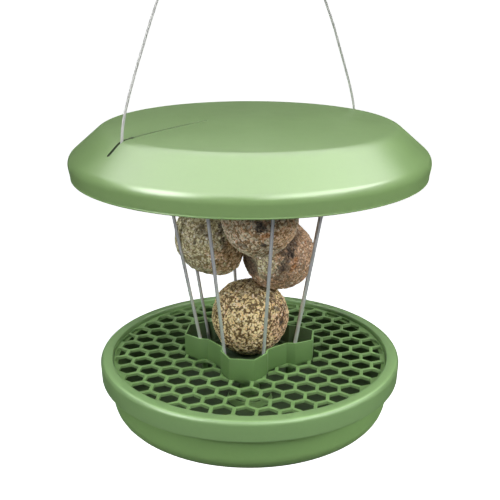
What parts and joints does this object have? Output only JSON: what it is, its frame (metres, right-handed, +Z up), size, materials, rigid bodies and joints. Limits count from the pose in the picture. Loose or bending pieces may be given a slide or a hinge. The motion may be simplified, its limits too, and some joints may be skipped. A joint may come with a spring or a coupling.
{
  "type": "suet feeder",
  "caption": "Round suet ball feeder with a domed roof on a wire rope loop, a cage of leaning steel rods and a tray with a honeycomb perch grid.",
  "frame": {"origin": "centre of the flat base of the catch bowl", "axes": "+Z up along the feeder's axis, -Y towards the viewer of the picture, +X to the viewer's right"},
  "size_m": [0.262, 0.262, 0.3804],
  "materials": {
    "roof_green": "semi-gloss moulded plastic, sage green",
    "tray_green": "satin moulded plastic, leaf green",
    "cup_green": "satin moulded plastic, dark green",
    "rod_steel": "drawn steel wire, satin",
    "rope_steel": "twisted steel wire rope and crimped sleeves",
    "suet": "pressed fat and seed, rough"
  },
  "bodies": {
    "feeder_body": {"tray_rim": "tray_green", "catch_bowl": "tray_green", "perch_grid": "tray_green", "ball_cup": "cup_green", "cage_top_ring": "cup_green", "thumb_screw": "cup_green", "rope_ferrule_left": "rope_steel", "rope_ferrule_right": "rope_steel", "hanging_rope": "rope_steel", "cage_rod_1": "rod_steel", "cage_rod_2": "rod_steel", "cage_rod_3": "rod_steel", "cage_rod_4": "rod_steel", "cage_rod_5": "rod_steel", "cage_rod_6": "rod_steel", "cage_rod_7": "rod_steel", "cage_rod_8": "rod_steel", "rod_nut_1": "rod_steel", "rod_nut_2": "rod_steel", "rod_nut_3": "rod_steel", "rod_nut_4": "rod_steel", "rod_nut_5": "rod_steel", "rod_nut_6": "rod_steel", "rod_nut_7": "rod_steel", "rod_nut_8": "rod_steel", "suet_ball_bottom": "suet", "suet_ball_left": "suet", "suet_ball_front": "suet", "suet_ball_right": "suet"},
    "roof": {"roof_shell": "roof_green"}
  },
  "joints": [
    {"name": "roof_lift", "type": "slide", "parent": "feeder_body", "child": "roof", "axis": [-0.3037, -0.2403, 0.922], "range_m": [0, 0.088]}
  ]
}
